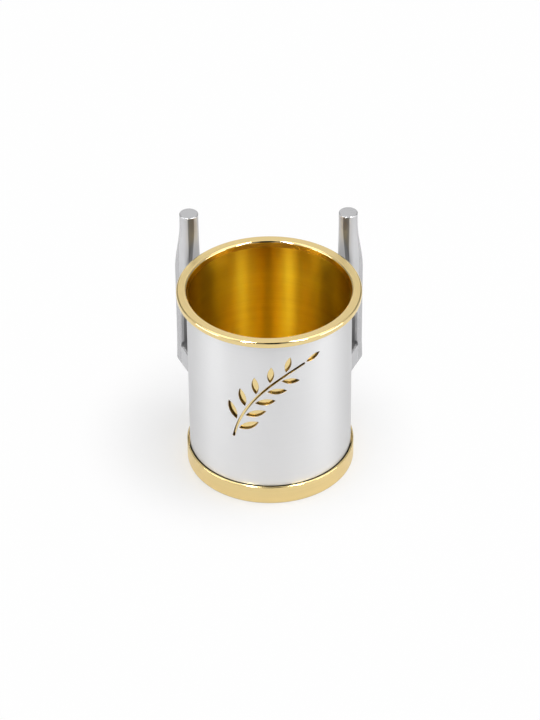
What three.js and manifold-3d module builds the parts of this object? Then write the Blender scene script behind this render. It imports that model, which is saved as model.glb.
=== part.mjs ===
// A two-handled cup for washing hands: a gilt liner inside a pierced metal sleeve, a turned brass
// rim and base, and two bar handles screwed to the sleeve at the back. Millimetres, +Z up.
// The origin is the centre of the foot, at the level of the table. The front of the cup faces -Y.
import * as THREE from 'three';
import { mergeVertices } from 'three/addons/utils/BufferGeometryUtils.js';
import Module from 'manifold-3d';

const wasm = await Module();
wasm.setup();

// The cup as a whole.
const cupHeight = 131.2;
const sleeveRadius = 52.5;
const sleeveWall = 0.8;
const linerGap = 0.8;
const linerWall = 0.8;
const linerBevel = 0.5;
const linerBevelHeight = 1.5;
const linerFloor = 1.2;
const linerCorner = 8;
const fitGap = 0.3;

// The rim ring, which caps the sleeve and forms the mouth. The flare is how much wider the mouth
// is than the liner's bore.
const rimOverhang = 6.3;
const rimThickness = 4.0;
const mouthFlare = 2.1;
const mouthRound = 1.6;
const rimTopRound = 1.4;
const rimUnderRound = 0.5;
const rimGrooveDepth = 0.6;

// The base ring and the plate that closes the cup underneath.
const baseHeight = 13.1;
const baseProud = 1.8;
const baseEdgeRound = 1.0;
const baseTopRound = 0.6;
const baseBoreGap = 0.6;
const baseBoreChamfer = 0.2;
const baseFootWidth = 3.0;
const baseRecess = 0.8;
const plateThickness = 1.7;
const plateChamfer = 0.4;
const shelfThickness = 1.5;
const shelfWidth = 13;

// The handles: a foot slopes up and out from the sleeve to a flat neck, which scoops out to a
// thicker grip and ends in a round top. Slopes and the sweep back are in degrees.
const handleSweepBack = 45;
const handleReach = 27.6;
const handleRise = 22.9;
const handleWidth = 14;
const handleEdgeRound = 1.8;
const neckThickness = 5.4;
const gripThickness = 11;
const handleEndDiameter = 12.2;
const handleEndInset = 1.8;
const handleEndChamfer = 0.6;
const footAboveBase = 6.2;
const footSeatHeight = 14.4;
const footLowerSlope = 34.6;
const footUpperSlope = 38.7;
const neckEndShare = 0.16;
const scoopEndShare = 0.5;
const shoulderShare = 0.58;
const roundEndShare = 0.93;

// Two countersunk screws hold each handle from inside the sleeve. The bridge is the metal left
// between their two countersinks.
const screwRadius = 1.5;
const screwLength = 7;
const screwHeadRadius = 2.75;
const screwHeadLand = 0.3;
const screwHeadProud = 0.35;
const screwBridge = 0.9;
const screwRise = 1.0;
const socketRadius = 1.15;
const socketDepth = 1.0;
const socketSides = 6;

// The sprig pierced through the front of the sleeve, laid out on the unrolled wall between the
// base ring and the rim. The bridge is the metal left between the stem and a leaf.
const sprigAcrossShare = -0.316;
const sprigHeightShare = 0.331;
const stemLengthShare = 0.662;
const stemStartLean = 78;
const stemTurn = -54;
const stemSlotWidth = 1.5;
const leafLengthShare = 0.197;
const leafWidthShare = 0.347;
const leafLean = 44;
const leafBridge = 1.25;
const leavesPerSide = 5;
const firstLeafShare = 0.1;
const leafStepShare = 0.165;
const sideShiftShare = 0.08;
const tipLeafShare = 0.7;

// How finely curves are cut into flats, and how far a cutter runs past what it cuts.
const roundSegments = 72;
const filletSegments = 4;
const cornerSegments = 5;
const screwSegments = 16;
const leafSegments = 8;
const stemSegments = 22;
const scoopRings = 5;
const shoulderRings = 6;
const overrun = 3.0;
const weldDistance = 1e-4;

const degrees = THREE.MathUtils.degToRad;
const mix = THREE.MathUtils.lerp;
const ease = THREE.MathUtils.smoothstep;

// Sizes that follow from those above.
const sleeveInner = sleeveRadius - sleeveWall;
const linerRadius = sleeveInner - linerGap;
const linerInner = linerRadius - linerWall;
const rimRadius = sleeveRadius + rimOverhang;
const mouthRadius = linerInner + mouthFlare;
const rimUnderside = cupHeight - rimThickness;
const baseRadius = sleeveRadius + baseProud;
const baseBore = sleeveRadius + baseBoreGap;
const baseRecessRadius = baseRadius - baseFootWidth;
const plateRadius = baseRecessRadius - fitGap;
const plateTop = baseRecess + plateThickness;
const shelfTop = plateTop + shelfThickness;
const shelfBore = plateRadius - shelfWidth;
const handleOuter = sleeveRadius + handleReach;
const handleTop = cupHeight + handleRise;
const footLow = baseHeight + footAboveBase;
const footHigh = footLow + footSeatHeight;
const heelHeight = footLow + handleReach * Math.tan(degrees(footLowerSlope));
const neckStart = footHigh + (handleReach - neckThickness) * Math.tan(degrees(footUpperSlope));
const screwHeadPlane = sleeveInner - screwHeadProud;
const screwConeHeight = screwHeadRadius - screwRadius;
const screwSpacing = 2 * (screwHeadRadius + fitGap) + screwBridge;
const wallHeight = rimUnderside - baseHeight;
const stemLength = wallHeight * stemLengthShare;
const sprigStartAcross = stemLength * sprigAcrossShare;
const sprigStartHeight = baseHeight + wallHeight * sprigHeightShare;
const leafLength = stemLength * leafLengthShare;
const leafWidth = leafLength * leafWidthShare;
const leafStandOff = stemSlotWidth / 2 + leafBridge;

// A closed geometry with only its positions, welded so that it can be cut and joined.
function toSolid(geometry) {
  const bare = new THREE.BufferGeometry();
  bare.setAttribute('position', geometry.getAttribute('position'));
  if (geometry.index) {
    bare.setIndex(geometry.index);
  }
  const welded = mergeVertices(bare, weldDistance);
  const vertProperties = new Float32Array(welded.getAttribute('position').array);
  const triVerts = new Uint32Array(welded.index.array);
  return new wasm.Manifold(new wasm.Mesh({ numProp: 3, vertProperties, triVerts }));
}

function toGeometry(solid) {
  const cut = solid.getMesh();
  const geometry = new THREE.BufferGeometry();
  geometry.setAttribute('position', new THREE.BufferAttribute(cut.vertProperties, 3));
  geometry.setIndex(new THREE.BufferAttribute(cut.triVerts, 1));
  return geometry;
}

// A profile of [radius, height] points, turned about the Z axis. It runs up the outside.
function turned(profile, segments = roundSegments) {
  const points = profile.map(([radius, height]) => new THREE.Vector2(radius, height));
  const geometry = new THREE.LatheGeometry(points, segments);
  return geometry.rotateX(degrees(90));
}

// Points of a round between two angles about a centre, for a turned profile.
function round(centreRadius, centreHeight, size, fromAngle, toAngle, segments = filletSegments) {
  const points = [];
  for (let i = 0; i <= segments; i += 1) {
    const angle = degrees(mix(fromAngle, toAngle, i / segments));
    points.push([centreRadius + size * Math.cos(angle), centreHeight + size * Math.sin(angle)]);
  }
  return points;
}

// The liner is a spun cup with a flat floor, a rounded corner and a bevelled top edge.
function makeLiner() {
  const floorTop = shelfTop + linerFloor;
  const innerCorner = linerCorner - linerWall;
  return turned([
    [0, shelfTop],
    ...round(linerRadius - linerCorner, shelfTop + linerCorner, linerCorner, -90, 0, cornerSegments),
    [linerRadius, rimUnderside],
    [linerInner + linerBevel, rimUnderside],
    [linerInner, rimUnderside - linerBevelHeight],
    ...round(linerInner - innerCorner, floorTop + innerCorner, innerCorner, 0, -90, cornerSegments),
    [0, floorTop],
  ]);
}

// The rim ring has a rounded mouth that narrows to the liner's bore, a flat top, a round outer
// edge and a groove underneath for the sleeve's edge.
function makeRimRing() {
  const grooveTop = rimUnderside + rimGrooveDepth;
  const mouth = Math.min(mouthRound, rimThickness / 2);
  const top = Math.min(rimTopRound, rimThickness - rimUnderRound);
  const under = rimUnderRound;
  return turned([
    [linerInner + linerBevel, rimUnderside],
    [sleeveInner - fitGap, rimUnderside],
    [sleeveInner - fitGap, grooveTop],
    [sleeveRadius + fitGap, grooveTop],
    [sleeveRadius + fitGap, rimUnderside],
    ...round(rimRadius - under, rimUnderside + under, under, -90, 0, filletSegments / 2),
    ...round(rimRadius - top, cupHeight - top, top, 0, 90),
    ...round(mouthRadius + mouth, cupHeight - mouth, mouth, 90, 180, cornerSegments),
    [linerInner + linerBevel, rimUnderside],
  ]);
}

// The base ring has a foot that stands on the table and a shelf that carries liner and sleeve.
function makeBaseRing() {
  const edge = Math.min(baseEdgeRound, baseFootWidth / 2);
  const top = Math.min(baseTopRound, (baseRadius - baseBore) / 2);
  return turned([
    [baseRecessRadius, 0],
    ...round(baseRadius - edge, edge, edge, -90, 0),
    ...round(baseRadius - top, baseHeight - top, top, 0, 90, filletSegments / 2),
    [baseBore + baseBoreChamfer, baseHeight],
    [baseBore, baseHeight - baseBoreChamfer],
    [baseBore, shelfTop],
    [shelfBore, shelfTop],
    [shelfBore, plateTop],
    [baseRecessRadius, plateTop],
    [baseRecessRadius, 0],
  ]);
}

// The base plate lies against the underside of the shelf, a little above the table.
function makeBasePlate() {
  return turned([
    [0, baseRecess],
    [plateRadius - plateChamfer, baseRecess],
    [plateRadius, baseRecess + plateChamfer],
    [plateRadius, plateTop],
    [0, plateTop],
  ]);
}

// Moves a flat cutter from (across, height, depth) onto the sleeve: across runs round the wall
// from the front, and depth runs outwards from inside it.
function wrapOnSleeve(geometry) {
  const position = geometry.getAttribute('position');
  for (let i = 0; i < position.count; i += 1) {
    const angle = position.getX(i) / sleeveRadius - degrees(90);
    const radius = sleeveInner - overrun + position.getZ(i);
    const height = position.getY(i);
    position.setXYZ(i, radius * Math.cos(angle), radius * Math.sin(angle), height);
  }
  return geometry;
}

// A place on the stem, at a share of its length: where it is and which way it points.
function stemPlace(share) {
  const start = degrees(stemStartLean);
  const heading = start + degrees(stemTurn) * share;
  const bend = stemLength / degrees(stemTurn);
  const across = sprigStartAcross + bend * (Math.sin(heading) - Math.sin(start));
  const height = sprigStartHeight - bend * (Math.cos(heading) - Math.cos(start));
  return { across, height, heading };
}

// A point half a slot's width from a place on the stem, at an angle to the stem's heading.
function slotEdge(place, angle) {
  return new THREE.Vector2(
    place.across + (stemSlotWidth / 2) * Math.cos(place.heading + degrees(angle)),
    place.height + (stemSlotWidth / 2) * Math.sin(place.heading + degrees(angle)),
  );
}

// The stem is one narrow slot with round ends: up one side, round the tip and back down.
function stemOutline() {
  const shape = [];
  for (let i = 0; i <= stemSegments; i += 1) {
    shape.push(slotEdge(stemPlace(i / stemSegments), -90));
  }
  for (let i = 1; i < filletSegments; i += 1) {
    shape.push(slotEdge(stemPlace(1), mix(-90, 90, i / filletSegments)));
  }
  for (let i = stemSegments; i >= 0; i -= 1) {
    shape.push(slotEdge(stemPlace(i / stemSegments), 90));
  }
  for (let i = 1; i < filletSegments; i += 1) {
    shape.push(slotEdge(stemPlace(0), mix(90, 270, i / filletSegments)));
  }
  return shape;
}

// A leaf is two arcs that meet in points, from its foot along its heading.
function leafOutline(footAcross, footHeight, heading, scaleShare) {
  const length = leafLength * scaleShare;
  const bulge = (leafWidth * scaleShare) / 2;
  const arcRadius = (length * length / 4 + bulge * bulge) / (2 * bulge);
  const halfAngle = Math.asin(length / 2 / arcRadius);
  const shape = [];
  for (const side of [-1, 1]) {
    for (let i = 0; i < leafSegments; i += 1) {
      const angle = halfAngle * mix(-1, 1, i / leafSegments) * -side;
      const along = length / 2 + arcRadius * Math.sin(angle);
      const aside = side * (arcRadius * Math.cos(angle) - (arcRadius - bulge));
      shape.push(new THREE.Vector2(
        footAcross + along * Math.cos(heading) - aside * Math.sin(heading),
        footHeight + along * Math.sin(heading) + aside * Math.cos(heading),
      ));
    }
  }
  return THREE.ShapeUtils.isClockWise(shape) ? shape.reverse() : shape;
}

// Every outline of the sprig: the stem, leaves that alternate along it, and one at its tip.
function sprigOutlines() {
  const outlines = [stemOutline()];
  for (const side of [-1, 1]) {
    for (let i = 0; i < leavesPerSide; i += 1) {
      const share = firstLeafShare + leafStepShare * i + (side > 0 ? sideShiftShare : 0);
      const place = stemPlace(share);
      const heading = place.heading + side * degrees(leafLean);
      const across = place.across - side * leafStandOff * Math.sin(place.heading);
      const height = place.height + side * leafStandOff * Math.cos(place.heading);
      outlines.push(leafOutline(across, height, heading, mix(1, tipLeafShare, share)));
    }
  }
  const tip = stemPlace(1);
  const across = tip.across + leafStandOff * Math.cos(tip.heading);
  const height = tip.height + leafStandOff * Math.sin(tip.heading);
  outlines.push(leafOutline(across, height, tip.heading, tipLeafShare));
  return outlines;
}

// The sleeve is a plain tube with the sprig pierced through its front and the screw holes
// drilled and countersunk through its back.
function makeSleeve() {
  const sleeveTop = rimUnderside + rimGrooveDepth - fitGap;
  const tube = turned([
    [sleeveInner, shelfTop],
    [sleeveRadius, shelfTop],
    [sleeveRadius, sleeveTop],
    [sleeveInner, sleeveTop],
    [sleeveInner, shelfTop],
  ]);
  let solid = toSolid(tube);
  const depth = sleeveWall + 2 * overrun;
  for (const outline of sprigOutlines()) {
    const cutter = new THREE.ExtrudeGeometry(new THREE.Shape(outline), { depth, bevelEnabled: false });
    solid = solid.subtract(toSolid(wrapOnSleeve(cutter)));
  }
  for (const seat of screwSeats()) {
    solid = solid.subtract(screwHole(seat));
  }
  return toGeometry(solid);
}

// One ring of a handle, seen along the bar: a rounded rectangle between an inner and an outer
// point of the profile, both given as [distance from the cup's axis, height].
function handleRing({ inner, outer, halfWidth, corner }) {
  const centre = [(inner[0] + outer[0]) / 2, (inner[1] + outer[1]) / 2];
  const halfDepth = Math.hypot(outer[0] - inner[0], outer[1] - inner[1]) / 2;
  const outwards = [(outer[0] - inner[0]) / (2 * halfDepth), (outer[1] - inner[1]) / (2 * halfDepth)];
  const size = Math.min(corner, halfDepth, halfWidth);
  const points = [];
  for (let quarter = 0; quarter < 4; quarter += 1) {
    const outSide = quarter === 0 || quarter === 3 ? 1 : -1;
    const leftSide = quarter < 2 ? 1 : -1;
    for (let i = 0; i <= cornerSegments; i += 1) {
      const angle = degrees(90 * (quarter + i / cornerSegments));
      const out = (halfDepth - size) * outSide + size * Math.cos(angle);
      const aside = (halfWidth - size) * leftSide + size * Math.sin(angle);
      points.push([centre[0] + out * outwards[0], aside, centre[1] + out * outwards[1]]);
    }
  }
  return points;
}

// The section of the bar at a height above the foot: it thickens along the scoop, then turns
// from a rounded rectangle into a circle between the shoulder and the top.
function barSection(height) {
  const bar = handleTop - neckStart;
  const riseTo = (share) => neckStart + bar * share;
  const scoop = ease(height, riseTo(neckEndShare), riseTo(scoopEndShare));
  const rounding = ease(height, riseTo(shoulderShare), riseTo(roundEndShare));
  const outer = handleOuter - handleEndInset * rounding;
  const thickness = mix(mix(neckThickness, gripThickness, scoop), handleEndDiameter, rounding);
  return {
    inner: [outer - thickness, height],
    outer: [outer, height],
    halfWidth: mix(handleWidth, handleEndDiameter, rounding) / 2,
    corner: mix(handleEdgeRound, handleEndDiameter / 2, rounding),
  };
}

// The sections of a handle from inside the sleeve, along the foot, round the heel and up the bar.
function handleSections() {
  const bar = handleTop - neckStart;
  const neckInner = handleOuter - neckThickness;
  const footStart = sleeveInner - overrun;
  const upperDrop = (neckInner - footStart) * Math.tan(degrees(footUpperSlope));
  const lowerDrop = (handleOuter - footStart) * Math.tan(degrees(footLowerSlope));
  const plain = { halfWidth: handleWidth / 2, corner: handleEdgeRound };
  const sections = [
    { inner: [footStart, neckStart - upperDrop], outer: [footStart, heelHeight - lowerDrop], ...plain },
    { inner: [neckInner, neckStart], outer: [handleOuter, heelHeight], ...plain },
  ];
  for (let i = 0; i <= scoopRings; i += 1) {
    sections.push(barSection(neckStart + bar * mix(neckEndShare, scoopEndShare, i / scoopRings)));
  }
  for (let i = 0; i <= shoulderRings; i += 1) {
    sections.push(barSection(neckStart + bar * mix(shoulderShare, roundEndShare, i / shoulderRings)));
  }
  sections.push(barSection(handleTop - handleEndChamfer));
  const end = barSection(handleTop);
  end.inner[0] += handleEndChamfer;
  end.outer[0] -= handleEndChamfer;
  end.halfWidth -= handleEndChamfer;
  sections.push(end);
  return sections;
}

// Joins rings of equally many points with side faces and closes both ends.
function loft(rings) {
  const count = rings[0].length;
  const positions = rings.flat(2);
  const index = [];
  for (let row = 0; row + 1 < rings.length; row += 1) {
    for (let i = 0; i < count; i += 1) {
      const next = (i + 1) % count;
      const low = row * count;
      const high = low + count;
      index.push(low + i, low + next, high + next);
      index.push(low + i, high + next, high + i);
    }
  }
  const last = (rings.length - 1) * count;
  for (let i = 1; i + 1 < count; i += 1) {
    index.push(0, i + 1, i);
    index.push(last, last + i, last + i + 1);
  }
  const geometry = new THREE.BufferGeometry();
  geometry.setAttribute('position', new THREE.Float32BufferAttribute(positions, 3));
  geometry.setIndex(index);
  return geometry;
}

// Where each handle stands, as an angle about the cup's axis.
const handleAngles = {
  left: degrees(180 - handleSweepBack),
  right: degrees(handleSweepBack),
};

// A screw seat: the handle's side and angle, how far the screw is from the handle's middle line,
// and its height, which is a small rise above the middle of the foot where it meets the sleeve.
function screwSeats() {
  const height = (footLow + footHigh) / 2 + screwRise;
  const seats = [];
  for (const [side, angle] of Object.entries(handleAngles)) {
    for (const place of [-1, 1]) {
      seats.push({ side, angle, place, height, aside: place * screwSpacing / 2 });
    }
  }
  return seats;
}

// Turns a geometry made along Z so that it points away from the cup's axis, at a seat.
function placeOnSeat(geometry, seat, distance) {
  geometry.rotateY(degrees(90));
  geometry.translate(distance, seat.aside, seat.height);
  return geometry.rotateZ(seat.angle);
}

// The drilled and countersunk hole for a screw, with its clearance.
function screwHole(seat) {
  const head = screwHeadRadius + fitGap;
  const shank = screwRadius + fitGap;
  const profile = [
    [0, -overrun],
    [head, -overrun],
    [head, screwHeadLand],
    [shank, screwHeadLand + screwConeHeight],
    [shank, screwLength + fitGap],
    [0, screwLength + fitGap],
  ];
  return toSolid(placeOnSeat(turned(profile, screwSegments), seat, screwHeadPlane));
}

// A countersunk screw with a hexagon socket in its head.
function makeScrew(seat) {
  const body = turned([
    [0, 0],
    [screwHeadRadius, 0],
    [screwHeadRadius, screwHeadLand],
    [screwRadius, screwHeadLand + screwConeHeight],
    [screwRadius, screwLength],
    [0, screwLength],
  ], screwSegments);
  const socket = new THREE.CylinderGeometry(socketRadius, socketRadius, 2 * socketDepth, socketSides);
  const solid = toSolid(body).subtract(toSolid(socket.rotateX(degrees(90))));
  return placeOnSeat(toGeometry(solid), seat, screwHeadPlane);
}

// A handle is lofted through its sections, then cut to seat on the sleeve and drilled.
function makeHandle(side) {
  const bar = loft(handleSections().map(handleRing)).rotateZ(handleAngles[side]);
  const seatRadius = sleeveRadius + fitGap;
  const seatCutter = new THREE.CylinderGeometry(seatRadius, seatRadius, 2 * handleTop, 2 * roundSegments);
  let solid = toSolid(bar).subtract(toSolid(seatCutter.rotateX(degrees(90))));
  for (const seat of screwSeats()) {
    if (seat.side === side) {
      solid = solid.subtract(screwHole(seat));
    }
  }
  return toGeometry(solid);
}

const brushedNickel = new THREE.MeshStandardMaterial({ color: 0xc9cacc, metalness: 1, roughness: 0.42 });
const polishedSteel = new THREE.MeshStandardMaterial({ color: 0xc4c4c4, metalness: 1, roughness: 0.12 });
const polishedBrass = new THREE.MeshStandardMaterial({ color: 0xe2c06a, metalness: 1, roughness: 0.22 });
const brushedGilt = new THREE.MeshStandardMaterial({ color: 0xc8920e, metalness: 1, roughness: 0.35 });

const cup = new THREE.Group();

function addPiece(name, geometry, material) {
  const piece = new THREE.Mesh(geometry, material);
  piece.name = name;
  cup.add(piece);
}

addPiece('liner_cup', makeLiner(), brushedGilt);
addPiece('rim_ring', makeRimRing(), polishedBrass);
addPiece('outer_sleeve', makeSleeve(), brushedNickel);
addPiece('base_ring', makeBaseRing(), polishedBrass);
addPiece('base_plate', makeBasePlate(), polishedBrass);
for (const side of Object.keys(handleAngles)) {
  addPiece(`${side}_handle`, makeHandle(side), polishedSteel);
}
for (const seat of screwSeats()) {
  const place = (seat.place > 0) === (seat.side === 'right') ? 'rear' : 'front';
  addPiece(`${seat.side}_${place}_screw`, makeScrew(seat), polishedSteel);
}

export default cup;
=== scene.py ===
# A two-handled washing cup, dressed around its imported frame. Fine turned, pierced and lofted
# surfaces stand in for the faceted solids, with metal finishes, a pale floor and soft lamps.
# Metres, +Z up, the front of the cup faces -Y.
import math

import bmesh
import bpy
import numpy as np
from mathutils import Matrix, Vector
from mathutils.geometry import delaunay_2d_cdt


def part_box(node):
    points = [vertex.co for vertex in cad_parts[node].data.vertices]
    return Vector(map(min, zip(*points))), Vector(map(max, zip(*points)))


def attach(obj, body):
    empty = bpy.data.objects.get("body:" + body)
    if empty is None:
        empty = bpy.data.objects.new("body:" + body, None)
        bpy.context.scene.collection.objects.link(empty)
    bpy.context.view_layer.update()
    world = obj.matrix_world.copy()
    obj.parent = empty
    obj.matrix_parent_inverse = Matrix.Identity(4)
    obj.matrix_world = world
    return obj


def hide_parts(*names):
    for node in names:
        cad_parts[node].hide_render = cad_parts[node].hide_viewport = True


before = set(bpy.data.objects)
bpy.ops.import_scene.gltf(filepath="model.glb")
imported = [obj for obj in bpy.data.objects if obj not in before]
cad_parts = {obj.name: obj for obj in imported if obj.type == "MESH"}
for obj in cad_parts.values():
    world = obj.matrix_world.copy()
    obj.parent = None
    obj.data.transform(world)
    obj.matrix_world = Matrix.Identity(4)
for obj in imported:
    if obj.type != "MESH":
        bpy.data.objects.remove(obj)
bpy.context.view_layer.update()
scene = bpy.context.scene
scene.view_settings.view_transform = "Standard"

millimetre = 0.001
turn = 2 * math.pi


def frameSizes(node):
    # a turned node's outer radius and the heights it lies between, read from the frame
    low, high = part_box(node)
    return {"radius": high.x, "bottom": low.z, "top": high.z}


linerFrame = frameSizes("liner_cup")
rimFrame = frameSizes("rim_ring")
sleeveFrame = frameSizes("outer_sleeve")
baseFrame = frameSizes("base_ring")
plateFrame = frameSizes("base_plate")
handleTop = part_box("right_handle")[1].z
print("frame loaded")


# the camera that sees what the photograph shows

cameraSet = {
    "elevation": 36.647,  # degrees above the table
    "roll": -0.474,
    "lens": 157.07,
    "sensor": 36,
    "distance": 2.016285,
    "target": (0.000183, 0, 0.074624),
}


def makeCamera():
    # looks down at the target by the elevation, with its right and up turned by the roll
    tilt = math.radians(cameraSet["elevation"])
    roll = math.radians(cameraSet["roll"])
    forward = Vector((0, math.cos(tilt), -math.sin(tilt)))
    right = Vector((1, 0, 0))
    up = Vector((0, math.sin(tilt), math.cos(tilt)))
    rolledRight = math.cos(roll) * right + math.sin(roll) * up
    rolledUp = math.cos(roll) * up - math.sin(roll) * right
    data = bpy.data.cameras.new("photoCamera")
    data.lens = cameraSet["lens"]
    data.sensor_width = cameraSet["sensor"]
    camera = bpy.data.objects.new("photoCamera", data)
    placing = Matrix((rolledRight, rolledUp, -forward)).transposed().to_4x4()
    placing.translation = Vector(cameraSet["target"]) - cameraSet["distance"] * forward
    camera.matrix_world = placing
    scene.collection.objects.link(camera)
    scene.camera = camera


makeCamera()
print("camera placed")


# shared ways of making a surface

surface = {
    "columns": 288,  # points round a turned piece
    "creaseAngle": 32,  # edges sharper than this stay sharp
    "joinWithin": 0.000001,
}


def arc(centre, size, start, end, steps):
    # points of a circle's arc, [radius, height], between two angles in degrees
    angle = np.radians(np.linspace(start, end, steps + 1))
    return np.column_stack([centre[0] + size * np.cos(angle), centre[1] + size * np.sin(angle)])


def profileFrom(*runs):
    # single points and runs of points, one after the other
    return np.vstack([np.atleast_2d(run) for run in runs])


def gridFaces(rows, columns):
    # the corner numbers of every square on a grid of rows by columns points
    corner = np.arange(rows * columns).reshape(rows, columns)
    corners = [corner[:-1, :-1], corner[:-1, 1:], corner[1:, 1:], corner[1:, :-1]]
    return np.stack(corners, -1).reshape(-1, 4)


def makePiece(name, points, faces, flat):
    # points (n, 3), faces as lists of corners, and flat (n, 2), each point's place on the UV map
    mesh = bpy.data.meshes.new(name)
    mesh.from_pydata(points.tolist(), [], [list(face) for face in faces])
    layer = mesh.uv_layers.new(name="metalMap")
    corners = np.empty(len(mesh.loops), np.int32)
    mesh.loops.foreach_get("vertex_index", corners)
    layer.data.foreach_set("uv", flat[corners].astype(np.float32).ravel())
    work = bmesh.new()
    work.from_mesh(mesh)
    bmesh.ops.remove_doubles(work, verts=work.verts, dist=surface["joinWithin"])
    bmesh.ops.recalc_face_normals(work, faces=work.faces)
    work.to_mesh(mesh)
    work.free()
    mesh.shade_smooth()
    mesh.set_sharp_from_angle(angle=math.radians(surface["creaseAngle"]))
    piece = bpy.data.objects.new(name, mesh)
    scene.collection.objects.link(piece)
    weighted = piece.modifiers.new("weightedNormals", "WEIGHTED_NORMAL")
    weighted.keep_sharp = True
    return piece


def makeGridPiece(name, points, across, along):
    # a grid of points, with its two parameters as the UV map
    flat = np.stack(np.broadcast_arrays(across, along), -1)
    faces = gridFaces(*points.shape[:2])
    return makePiece(name, points.reshape(-1, 3), faces, flat.reshape(-1, 2))


def turnProfile(name, profile):
    # a surface of revolution: (radius cos t, radius sin t, height), where radius and height run
    # along the profile and t runs once round the cup
    around = np.linspace(0, 1, surface["columns"] + 1)
    angle = turn * around
    radius, height = profile[:, 0][:, None], profile[:, 1][:, None]
    points = np.broadcast_arrays(radius * np.cos(angle), radius * np.sin(angle), height)
    steps = np.hypot(*np.diff(profile, axis=0).T)
    along = np.concatenate([[0], np.cumsum(steps)]) / (turn * profile[:, 0].max())
    return makeGridPiece(name, np.stack(points, -1), around[None, :], along[:, None])


# the liner: a spun cup with a flat floor, whose mouth widens into a gentle bell

liner = {
    "wall": 0.0008,
    "floor": 0.0012,
    "corner": 0.008,
    "bell": 0.00135,  # how far the mouth widens inside
    "bellHeight": 0.04,
    "edge": 0.00012,  # the wall that is left at the very top
    "rows": 48,
    "cornerSteps": 12,
    "floorSteps": 8,
}


def makeLiner():
    # the inner radius is the bore plus the bell times the square of the share climbed through it
    outer = linerFrame["radius"]
    inner = outer - liner["wall"]
    bottom, top = linerFrame["bottom"], linerFrame["top"]
    floorTop = bottom + liner["floor"]
    corner, steps = liner["corner"], liner["cornerSteps"]
    innerCorner = corner - liner["wall"]
    climb = np.linspace(bottom + corner, top, liner["rows"])
    share = np.clip((climb - top + liner["bellHeight"]) / liner["bellHeight"], 0, 1)
    innerRadius = inner + liner["bell"] * share ** 2
    outerRadius = np.minimum(innerRadius + liner["wall"], inner + liner["bell"] + liner["edge"])
    floor = np.linspace(0, inner - innerCorner, liner["floorSteps"] + 1)[1:-1]
    profile = profileFrom(
        [0, bottom],
        arc((outer - corner, bottom + corner), corner, -90, 0, steps)[:-1],
        np.column_stack([outerRadius, climb]),
        np.column_stack([innerRadius, climb])[::-1],
        arc((inner - innerCorner, floorTop + innerCorner), innerCorner, 0, -90, steps)[1:],
        np.column_stack([floor[::-1], np.full_like(floor, floorTop)]),
        [0, floorTop],
    )
    piece = turnProfile("linerCup", profile)
    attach(piece, "root")
    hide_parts("liner_cup")
    return piece


# the rim ring: a rounded lip, a flat top and a groove for the sleeve's edge

rim = {
    "flare": 0.0021,  # how much wider the mouth is than the liner's bore
    "lipRound": 0.0016,
    "topRound": 0.0014,
    "underRound": 0.0005,
    "grooveDepth": 0.0006,
    "tongue": 0.00015,  # the wall between the mouth and the groove
    "fitGap": 0.0003,
    "lipSteps": 16,
    "topSteps": 10,
    "underSteps": 6,
}


def makeRim():
    # turned from the groove outwards, over the rounded edge and the flat, and down the lip
    bore = linerFrame["radius"] - liner["wall"]
    outer, bottom, top = rimFrame["radius"], rimFrame["bottom"], rimFrame["top"]
    throat = bore + liner["bell"]
    grooveInner = throat + rim["tongue"]
    grooveOuter = sleeveFrame["radius"] + rim["fitGap"]
    grooveTop = bottom + rim["grooveDepth"]
    lip, mouth = rim["lipRound"], bore + rim["flare"]
    under, edge = rim["underRound"], rim["topRound"]
    profile = profileFrom(
        [throat, bottom],
        [grooveInner, bottom],
        [grooveInner, grooveTop],
        [grooveOuter, grooveTop],
        [grooveOuter, bottom],
        arc((outer - under, bottom + under), under, -90, 0, rim["underSteps"]),
        arc((outer - edge, top - edge), edge, 0, 90, rim["topSteps"]),
        arc((mouth + lip, top - lip), lip, 90, 180, rim["lipSteps"]),
        [throat, bottom],
    )
    piece = turnProfile("rimRing", profile)
    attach(piece, "root")
    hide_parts("rim_ring")
    return piece


# the base ring and the plate under it

base = {
    "footWidth": 0.003,
    "footRound": 0.001,
    "topRound": 0.0006,
    "roundSteps": 8,
    "boreGap": 0.0006,
    "boreChamfer": 0.0002,
    "shelf": 0.0015,
    "shelfWidth": 0.013,
    "plateChamfer": 0.0004,
}


def makeBaseRing():
    # turned from the foot up the outer wall, down the bore and in along the shelf
    outer, top = baseFrame["radius"], baseFrame["top"]
    recess = outer - base["footWidth"]
    bore = sleeveFrame["radius"] + base["boreGap"]
    shelfTop = sleeveFrame["bottom"]
    shelfBottom = shelfTop - base["shelf"]
    shelfBore = plateFrame["radius"] - base["shelfWidth"]
    foot, edge, steps = base["footRound"], base["topRound"], base["roundSteps"]
    profile = profileFrom(
        [recess, 0],
        arc((outer - foot, foot), foot, -90, 0, steps),
        arc((outer - edge, top - edge), edge, 0, 90, steps),
        [bore + base["boreChamfer"], top],
        [bore, top - base["boreChamfer"]],
        [bore, shelfTop],
        [shelfBore, shelfTop],
        [shelfBore, shelfBottom],
        [recess, shelfBottom],
        [recess, 0],
    )
    piece = turnProfile("baseRing", profile)
    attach(piece, "root")
    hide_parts("base_ring")
    return piece


def makeBasePlate():
    # a turned disc whose lower edge is chamfered
    radius, bottom, top = plateFrame["radius"], plateFrame["bottom"], plateFrame["top"]
    chamfer = base["plateChamfer"]
    profile = profileFrom(
        [0, bottom],
        [radius - chamfer, bottom],
        [radius, bottom + chamfer],
        [radius, top],
        [0, top],
    )
    piece = turnProfile("basePlate", profile)
    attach(piece, "root")
    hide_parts("base_plate")
    return piece


# the sleeve: a sheet laid out flat, pierced with the sprig and rolled round the liner

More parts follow.
